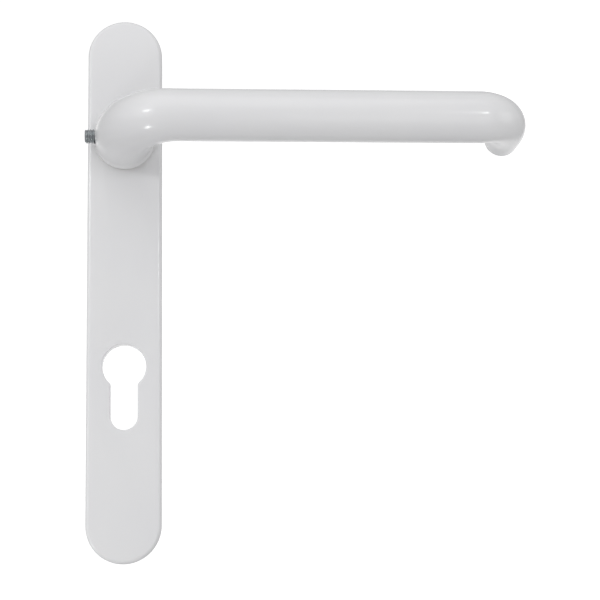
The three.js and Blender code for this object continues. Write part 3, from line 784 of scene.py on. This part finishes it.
def hub_shell():
    """The steel hub: round with a ring groove, flatted at the back, with a square hole."""
    front, back, r = hub_low.y, hub_high.y, hub_high.z
    hole_end, chamfer_y = spindle_low.y - 0.3 * MM, back - HUB_BACK_CHAMFER
    square = square_radius(SQUARE_HOLE_HALF)
    square_mouth = square_radius(SQUARE_HOLE_HALF + HUB_BACK_CHAMFER)
    round_bar = flatted_radius(r, HUB_HALF_FLATS)
    groove = flatted_radius(GROOVE_R, HUB_HALF_FLATS)
    back_edge = flatted_radius(r - HUB_BACK_CHAMFER, HUB_HALF_FLATS - 0.2 * MM)
    rows = [
        (0, hole_end), (square, hole_end), (square, chamfer_y), (square_mouth, back),
        (back_edge, back), (round_bar, chamfer_y), (round_bar, GROOVE_BACK_Y),
        (groove, GROOVE_BACK_Y), (groove, GROOVE_FRONT_Y), (round_bar, GROOVE_FRONT_Y),
        (round_bar, HUB_FLATS_Y), (r, HUB_FLATS_Y), (r, front + HUB_FRONT_CHAMFER),
        (r - HUB_FRONT_CHAMFER, front), (0, front),
    ]
    square_corners = (45, 135, 225, 315)
    shell = Shell()
    shell.loft(turned_rows(rows, angles_with_flats(r, HUB_HALF_FLATS, square_corners)))
    return shell


hub_hole = rod_along_x(GRUB_HOLE_R, -10 * MM, -3 * MM, grub_y)
piece_from(hub_shell(), "drive_hub_turned", "lever_assembly", "zinc_plated_steel", "drive_hub",
           cutters=[hub_hole])


def spindle_shell():
    """Drawn square bar: a square with small rounded corners, which shrinks towards its middle
    over the chamfer at each end."""
    half, front, back = spindle_high.x, spindle_low.y, spindle_high.y
    square = rounded_rectangle(half, -half, half, SPINDLE_CORNER, 5)[0]
    small = 1 - SPINDLE_CHAMFER / half
    profile = [
        (small, front), (1, front + SPINDLE_CHAMFER), (1, back - SPINDLE_CHAMFER), (small, back)
    ]
    return capped(np.array([
        np.stack([k * square[:, 0], np.full(len(square), y), k * square[:, 1]], -1)
        for k, y in profile
    ]))


piece_from(spindle_shell(), "spindle_bar", "lever_assembly", "zinc_plated_steel", "spindle")

# ---- bearing, washer and ring -----------------------------------------------------------


def bush_shell():
    """A flanged sleeve: one closed section, its corners eased, turned about the axis."""
    front, back, flange = bush_low.y, bush_high.y, bush_high.x
    seat, bore, sleeve, edge = -10.2 * MM, 8.2 * MM, 9.0 * MM, 0.12 * MM
    profile = [
        (bore, front + edge), (bore + edge, front), (flange - edge, front), (flange, front + edge),
        (flange, seat - edge), (flange - edge, seat), (sleeve, seat), (sleeve, back - edge),
        (sleeve - edge, back), (bore + edge, back), (bore, back - edge), (bore, front + edge),
    ]
    return turned(profile)


piece_from(bush_shell(), "neck_bush_moulded", "plate_assembly", "white_nylon", "neck_bush")


def wave_washer_shell():
    """A flat ring whose depth rises and falls as a sine, three times round its turn."""
    middle = (washer_low.y + washer_high.y) / 2
    inner, outer, half, wave, edge = 8.35 * MM, washer_high.x, 0.12 * MM, 0.08 * MM, 0.05 * MM

    def at(offset):
        return lambda a: middle + offset + wave * np.sin(3 * a)

    corners = [
        (inner, edge - half), (inner + edge, -half), (outer - edge, -half), (outer, edge - half),
        (outer, half - edge), (outer - edge, half), (inner + edge, half), (inner, half - edge),
    ]
    return turned([(r, at(y)) for r, y in corners + corners[:1]], count=120)


piece_from(wave_washer_shell(), "wave_washer_spring", "plate_assembly", "spring_steel",
           "wave_washer")


def retaining_ring_shell():
    """A snap ring: an open ring. Beside each end its outside swells into an eye, by a bump
    that falls off as the exponential of minus a fourth power of the angle."""
    outer, inner, swell, eye_r, eye_reach = 9.1 * MM, 7.35 * MM, 1.25 * MM, 0.5 * MM, 9.2 * MM
    half_gap, bump_angle, eye_angle = 0.32, 0.1, 0.13
    a = np.linspace(math.pi / 2 + half_gap, math.pi / 2 - half_gap + TURN, 160)
    from_end = np.minimum(a - a[0], a[-1] - a)
    r = outer + swell * np.exp(-(((from_end - bump_angle) / bump_angle) ** 4))
    turn = np.stack([np.cos(a), np.sin(a)], -1)
    ring = with_normals(np.concatenate([r[:, None] * turn, (inner * turn)[::-1]]))
    eyes = [
        circle(eye_r, eye_reach * math.cos(angle), eye_reach * math.sin(angle), 24, hole=True)
        for angle in (a[0] + eye_angle, a[-1] - eye_angle)
    ]
    return flat_piece([ring] + eyes, ring_low.y, ring_high.y, 0.06 * MM)


piece_from(retaining_ring_shell(), "snap_ring", "lever_assembly", "spring_steel",
           "retaining_ring")

# ---- spring cassette --------------------------------------------------------------------

CASSETTE_CORNER_R = 3 * MM
CASSETTE_HOLE_R = 8.4 * MM
SCREW_HOLE_R = 1.6 * MM
SCREW_SHANK_R = 1.4 * MM
SCREW_HEAD_FRONT_Y = -1.75 * MM
SCREW_HEAD_ROUND = 0.35 * MM
SLOT_REACH = 1.45 * MM
SLOT_HALF_WIDTH = 0.3 * MM
SLOT_DEPTH = 0.7 * MM


def screw_holes():
    """A clearance hole round each cassette screw."""
    return [circle(SCREW_HOLE_R, x, z, 32, hole=True) for x, z in screw_places]


def lid_shell():
    """A stamped flat cover, with one hole for the hub and one for each screw."""
    outer = rounded_rectangle(lid_high.x, lid_low.z, lid_high.z, CASSETTE_CORNER_R)
    holes = [circle(CASSETTE_HOLE_R, hole=True)] + screw_holes()
    return flat_piece([outer] + holes, lid_low.y, lid_high.y, 0.12 * MM)


piece_from(lid_shell(), "cassette_cover", "plate_assembly", "zinc_plated_steel", "cassette_lid")


def screw_shell(x, z):
    """A cheese-head screw: a turned head with a domed rim over a plain shank."""
    low, high = screw_boxes[0]
    r, dome = (high.x - low.x) / 2, rounding(SCREW_HEAD_ROUND, high.y, -1, 5)[::-1]
    profile = [
        (0, low.y), (1.0 * MM, low.y), (SCREW_SHANK_R, low.y + 0.4 * MM),
        (SCREW_SHANK_R, SCREW_HEAD_FRONT_Y), (r - 0.1 * MM, SCREW_HEAD_FRONT_Y),
        (r, SCREW_HEAD_FRONT_Y + 0.1 * MM),
    ]
    profile += [(min(r - SCREW_HEAD_ROUND + o, r), y) for o, y in dome]
    return turned(profile + [(0, high.y)], x, z, 48)


def cross_slot(x, z, back):
    """Two crossed bars, cut into a screw's head."""
    slots = []
    for half_x, half_z in ((SLOT_REACH, SLOT_HALF_WIDTH), (SLOT_HALF_WIDTH, SLOT_REACH)):
        points, normals = rounded_rectangle(half_x, -half_z, half_z, 0.1 * MM, 2)
        bar = (points + [x, z], normals)
        slots.append(flat_piece([bar], back - SLOT_DEPTH, back + MM, 0.05 * MM))
    return slots


for number, (x, z) in enumerate(screw_places, 1):
    node = f"cassette_screw_{number}"
    piece_from(screw_shell(x, z), f"cheese_head_{number}", "plate_assembly", "zinc_plated_steel",
               node, cutters=cross_slot(x, z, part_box(node)[1].y))

# ---- pillars and gasket -----------------------------------------------------------------

M5_PITCH = 0.8 * MM
M5_CORE_R = 2.1 * MM
M5_THREAD_DEPTH = 0.35 * MM
M5_MOUTH_R = 2.7 * MM
PILLAR_HOLE_END_Y = -6 * MM
PILLAR_FRONT_CHAMFER = 0.3 * MM
PILLAR_BACK_CHAMFER = 0.6 * MM


def pillar_shell(node):
    """A turned pillar with a tapped hole, whose wall carries the M5 thread's helix."""
    low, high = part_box(node)
    r, front, back = high.x, low.y, high.y

    def thread(y):
        return lambda a: M5_CORE_R + M5_THREAD_DEPTH * (1 - thread_wave(y, a, M5_PITCH))

    rows = [
        (0, front), (r - PILLAR_FRONT_CHAMFER, front), (r, front + PILLAR_FRONT_CHAMFER),
        (r, back - PILLAR_BACK_CHAMFER), (r - PILLAR_BACK_CHAMFER, back), (M5_MOUTH_R, back),
    ]
    rows += [(thread(y), y) for y in np.linspace(back - 0.45 * MM, PILLAR_HOLE_END_Y, 110)]
    rows += [(M5_CORE_R, PILLAR_HOLE_END_Y), (0, PILLAR_HOLE_END_Y - 0.8 * MM)]
    return turned(rows, 0.0, (low.z + high.z) / 2, 72)


for node in ("upper_pillar", "lower_pillar"):
    piece_from(pillar_shell(node), f"{node}_turned", "plate_assembly", "zinc_plated_steel", node)


def gasket_shell():
    """A soft strip that follows the plate's outline just inside its rim, its back rounded."""
    front, back, width, edge = gasket_low.y, gasket_high.y, 0.9 * MM, 0.25 * MM
    outset = END_R - gasket_high.x
    curve = rounding(edge, back, -1, 4)
    profile = [(-outset - width, front), (-outset, front)]
    profile += [(-outset + o, y) for o, y in curve[::-1]]
    profile += [(-outset - width - o, y) for o, y in curve]
    shell = Shell()
    shell.loft(carried(plate_outline(), profile + profile[:1]))
    return shell


piece_from(gasket_shell(), "rim_gasket_strip", "plate_assembly", "black_rubber", "rim_gasket")

# ---- inside the cassette ----------------------------------------------------------------

TRAY_FLOOR_Y = -6.6 * MM
ANCHOR_PIN_Z = -13.7 * MM
ANCHOR_PIN_HOLE_R = 1.2 * MM
FOLLOWER_FRONT_Y = -3.75 * MM
FOLLOWER_HOLE_R = 8.1 * MM
FOLLOWER_HALF_FLATS = 6.6 * MM
FOLLOWER_ARM = 1.3 * MM
FOLLOWER_TAB_TOP_Z = -10.4 * MM


def chamber_outline():
    """The spring chamber: a rounded rectangle with a square stop standing in from each side."""
    half, low, high, r = 11 * MM, -15.9 * MM, 11.2 * MM, 1.5 * MM
    stop_x, stop_low, stop_high, stop_r = 9.5 * MM, -9.6 * MM, -6.2 * MM, 0.4 * MM
    quarter = math.pi / 2
    right = np.concatenate([
        arc(half - r, high - r, r, quarter, 0, 8), [(half, stop_high)],
        arc(stop_x + stop_r, stop_high - stop_r, stop_r, quarter, 2 * quarter, 5),
        arc(stop_x + stop_r, stop_low + stop_r, stop_r, 2 * quarter, 3 * quarter, 5),
        [(half, stop_low)], arc(half - r, low + r, r, 0, -quarter, 8), [(half - r, low)],
    ])[::-1]
    left = (right * [-1, 1])[::-1]
    return with_normals(np.concatenate([right, left]), hole=True)


def housing_shell():
    """A tray: one wall round the outside, one down into the chamber, and one for each hole."""
    front, back, ease = housing_low.y, housing_high.y, 0.12 * MM
    outer = carried(
        rounded_rectangle(housing_high.x, housing_low.z, housing_high.z, CASSETTE_CORNER_R),
        rounding(0.3 * MM, front, 1, 4) + rounding(0.15 * MM, back, -1, 3)[::-1],
    )
    chamber = carried(chamber_outline(), [(-ease, back), (0, back - ease), (0, TRAY_FLOOR_Y)])
    mouth = rounding(ease, front, 1, 3)
    hub_hole_outline = circle(CASSETTE_HOLE_R, hole=True)
    pin_hole = circle(ANCHOR_PIN_HOLE_R, 0, ANCHOR_PIN_Z, 32, hole=True)
    floor_walls = [carried(h, mouth + [(0, TRAY_FLOOR_Y)]) for h in (hub_hole_outline, pin_hole)]
    screw_walls = [carried(h, mouth + [(0, back)]) for h in screw_holes()]
    shell = Shell()
    for wall in [outer, chamber] + floor_walls + screw_walls:
        shell.loft(wall)
    shell.fill([wall[0] for wall in [outer] + floor_walls + screw_walls])
    shell.fill([outer[-1], chamber[0]] + [wall[-1] for wall in screw_walls])
    shell.fill([chamber[-1]] + [wall[-1] for wall in floor_walls])
    return shell


piece_from(housing_shell(), "cassette_tray", "plate_assembly", "diecast_zinc", "cassette_housing")


def anchor_pin_shell():
    """A turned pin, chamfered at both ends."""
    low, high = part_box("anchor_pin")
    r, c = high.x, 0.2 * MM
    profile = [
        (0, low.y), (r - c, low.y), (r, low.y + c), (r, high.y - c), (r - c, high.y), (0, high.y)
    ]
    return turned(profile, 0, (low.z + high.z) / 2, 40)


piece_from(anchor_pin_shell(), "anchor_pin_turned", "plate_assembly", "zinc_plated_steel",
           "anchor_pin")


def follower_shell():
    """A stamped disc with a short arm, round a hole with two flats."""
    low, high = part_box("follower")
    r, arm, chamfer = high.x, FOLLOWER_ARM, 0.3 * MM
    beside = math.asin(arm / r)
    rim = arc(0, 0, r, -math.pi / 2 + beside, 3 * math.pi / 2 - beside, 120)
    foot = [
        (-arm, -math.sqrt(r**2 - arm**2)), (-arm, low.z + chamfer), (-arm + chamfer, low.z),
        (arm - chamfer, low.z), (arm, low.z + chamfer),
    ]
    outline = with_normals(np.concatenate([rim, foot]))
    a = angles_with_flats(FOLLOWER_HOLE_R, FOLLOWER_HALF_FLATS, count=96)
    hole_r = flatted_radius(FOLLOWER_HOLE_R, FOLLOWER_HALF_FLATS)(a)
    hole = with_normals(np.stack([hole_r * np.cos(a), hole_r * np.sin(a)], -1), hole=True)
    return flat_piece([outline, hole], FOLLOWER_FRONT_Y, high.y, 0.08 * MM)


def follower_tab_shell():
    """The tab at the arm's end, bent forwards to stand between the spring's legs."""
    low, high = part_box("follower")
    tab = rounded_rectangle(1 * MM, low.z + 0.02 * MM, FOLLOWER_TAB_TOP_Z, 0.15 * MM, 3)
    return flat_piece([tab], low.y, high.y - 0.2 * MM, 0.1 * MM)


piece_from(follower_shell(), "follower_plate", "lever_assembly", "zinc_plated_steel", "follower",
           additions=[follower_tab_shell()])


def smooth_path(points, steps):
    """A curve through every point: each stretch is the cubic whose slope at a point is half
    the step from the point before to the point after."""
    p = np.asarray(points)
    p = np.concatenate([[2 * p[0] - p[1]], p, [2 * p[-1] - p[-2]]])
    t = np.linspace(0, 1, steps, endpoint=False)[None, :, None]
    a, b, c, d = (p[i : len(p) - 3 + i, None] for i in range(4))
    curve = b + 0.5 * t * (c - a + t * (2 * a - 5 * b + 4 * c - d + t * (3 * (b - c) + d - a)))
    return np.concatenate([curve.reshape(-1, 3), p[-2:-1]])


def return_spring_shell():
    """Round wire: circles square to a path that makes two even turns about the spindle, and
    whose ends turn down beside the anchor pin."""
    wire_r, coil_r, leg_x, start_y, end_y = 0.55 * MM, 9.6 * MM, 1.75 * MM, -5.85 * MM, -4.6 * MM
    begin = math.asin(leg_x / coil_r)
    a = np.linspace(begin, 2 * TURN - begin, 23)[1:-1]
    y = np.linspace(start_y, end_y, 23)[1:-1]
    coil = np.stack([coil_r * np.sin(a), y, -coil_r * np.cos(a)], -1)
    leg = np.array([(0, 0, -5.5), (0, 0, -2.6), (0.1, 0, -0.9)]) * MM
    start = leg + [leg_x, start_y, -coil_r]
    end = (leg * [-1, 1, 1] + [-leg_x, end_y, -coil_r])[::-1]
    path = smooth_path(np.concatenate([start, coil, end]), 8)
    along = np.gradient(path, axis=0)
    along /= np.linalg.norm(along, axis=1, keepdims=True)
    side = np.cross(along, [0, 1, 0])
    side /= np.linalg.norm(side, axis=1, keepdims=True)
    upright = np.cross(side, along)
    turn = np.linspace(0, TURN, 16, endpoint=False)[None, :, None]
    circles = np.cos(turn) * side[:, None] + np.sin(turn) * upright[:, None]
    return capped(path[:, None] + wire_r * circles)


piece_from(return_spring_shell(), "torsion_spring", "plate_assembly", "spring_steel",
           "return_spring")

# ---- stage, light and camera ------------------------------------------------------------

LEFT_BEND = (0.02, -0.05, 0.0)
RIGHT_BEND = (0.14, -0.05, 0.0)
MIDDLE = (0.06, -0.03, -0.03)
GRIP = (0.1, -0.05, 0.01)

# Azimuth, elevation and spread in degrees, distance and size in metres, power in watts
SOFTBOXES = [
    ("key", -24, 50, 0.6, (0.7, 0.5), 1.0, MIDDLE, 180),
    ("front_fill", 20, -24, 0.4, (0.3, 0.2), 0.032, GRIP, 80),
    ("left_fill", -58, 8, 0.8, (0.5, 0.5), 0.55, MIDDLE, 180),
    ("right_fill", 68, -2, 0.6, (0.4, 0.4), 0.62, RIGHT_BEND, 180),
    ("left_card", -51, 10, 0.9, (0.2, 0.08), 0.8, LEFT_BEND, 180),
    ("low_left_card", -70, -49, 0.4, (0.06, 0.04), 0.17, LEFT_BEND, 180),
    ("right_card", 16, 6, 0.9, (0.02, 0.07), 0.55, RIGHT_BEND, 180),
]
WORLD_STRENGTH = 0.51
# Strength of the glow painted into the backdrop paper, brightest at the middle of the wall
WALL_PAINTED_GLOW = 0.68


def backdrop():
    """One wide sheet of paper, flat along the floor, that curves up into a wall behind."""
    floor_z, bend_r, wall_y, front_y, half_width, top = -0.36, 0.4, 1.3, -6.0, 6.0, 2.2
    a = np.linspace(0, math.pi / 2, 24)
    bend = np.stack([wall_y + bend_r * (np.sin(a) - 1), floor_z + bend_r * (1 - np.cos(a))], -1)
    section = np.concatenate([[(front_y, floor_z)], bend, [(wall_y, top)]])
    left, right = (np.insert(section, 0, x, axis=1) for x in (-half_width, half_width))
    points = np.stack([left, right], 1).reshape(-1, 3)
    here = 2 * np.arange(len(section) - 1)
    quads = np.stack([here, here + 1, here + 3, here + 2], -1)
    mesh = bpy.data.meshes.new("backdrop")
    mesh.from_pydata(points.tolist(), [], quads.tolist())
    smooth_shaded(mesh, 60)
    sheet = bpy.data.objects.new("backdrop", mesh)
    # The paper glows: painted light round the middle of the wall
    sheet.data.materials.append(studio_paper_painted_glow(WALL_PAINTED_GLOW))
    bpy.context.scene.collection.objects.link(sheet)


def softbox(name, azimuth, elevation, distance, size, power, target, spread):
    """A rectangular light seen from the target at an azimuth from -Y towards +X and an
    elevation, and aimed back at the target."""
    az, el = math.radians(azimuth), math.radians(elevation)
    away = Vector((math.sin(az) * math.cos(el), -math.cos(az) * math.cos(el), math.sin(el)))
    data = bpy.data.lights.new(name, "AREA")
    data.shape = "RECTANGLE"
    data.size, data.size_y = size
    data.energy = power
    data.spread = math.radians(spread)
    light = bpy.data.objects.new(name, data)
    light.visible_camera = False
    turn = away.to_track_quat("Z", "Y").to_matrix().to_4x4()
    light.matrix_world = Matrix.Translation(Vector(target) + away * distance) @ turn
    bpy.context.scene.collection.objects.link(light)


def camera():
    """A long lens a little below the lever, turned slightly up and to the right."""
    place = Vector((24.1, -609.7, -142.7)) * MM
    yaw, pitch, roll = 0.0774, 0.1276, -0.0111
    level = Vector((math.cos(yaw), -math.sin(yaw), 0))
    forward = Vector((math.sin(yaw), math.cos(yaw), 0))
    ahead = forward * math.cos(pitch) + Vector((0, 0, math.sin(pitch)))
    upward = level.cross(ahead)
    right = level * math.cos(roll) + upward * math.sin(roll)
    above = upward * math.cos(roll) - level * math.sin(roll)
    data = bpy.data.cameras.new("camera")
    data.lens = 90.0
    data.sensor_width = 36
    data.clip_start = 0.01
    view = bpy.data.objects.new("camera", data)
    turn = Matrix((right, above, -ahead)).transposed().to_4x4()
    view.matrix_world = Matrix.Translation(place) @ turn
    bpy.context.scene.collection.objects.link(view)
    bpy.context.scene.camera = view


def studio():
    """An even white surround, and the softboxes of the table."""
    world = bpy.data.worlds.new("studio")
    bpy.context.scene.world = world
    world.use_nodes = True
    surround = world.node_tree.nodes["Background"].inputs
    surround["Color"].default_value = (1, 1, 1, 1)
    surround["Strength"].default_value = WORLD_STRENGTH
    for settings in SOFTBOXES:
        softbox(*settings)
    bpy.context.scene.view_settings.view_transform = "Standard"


backdrop()
studio()
camera()
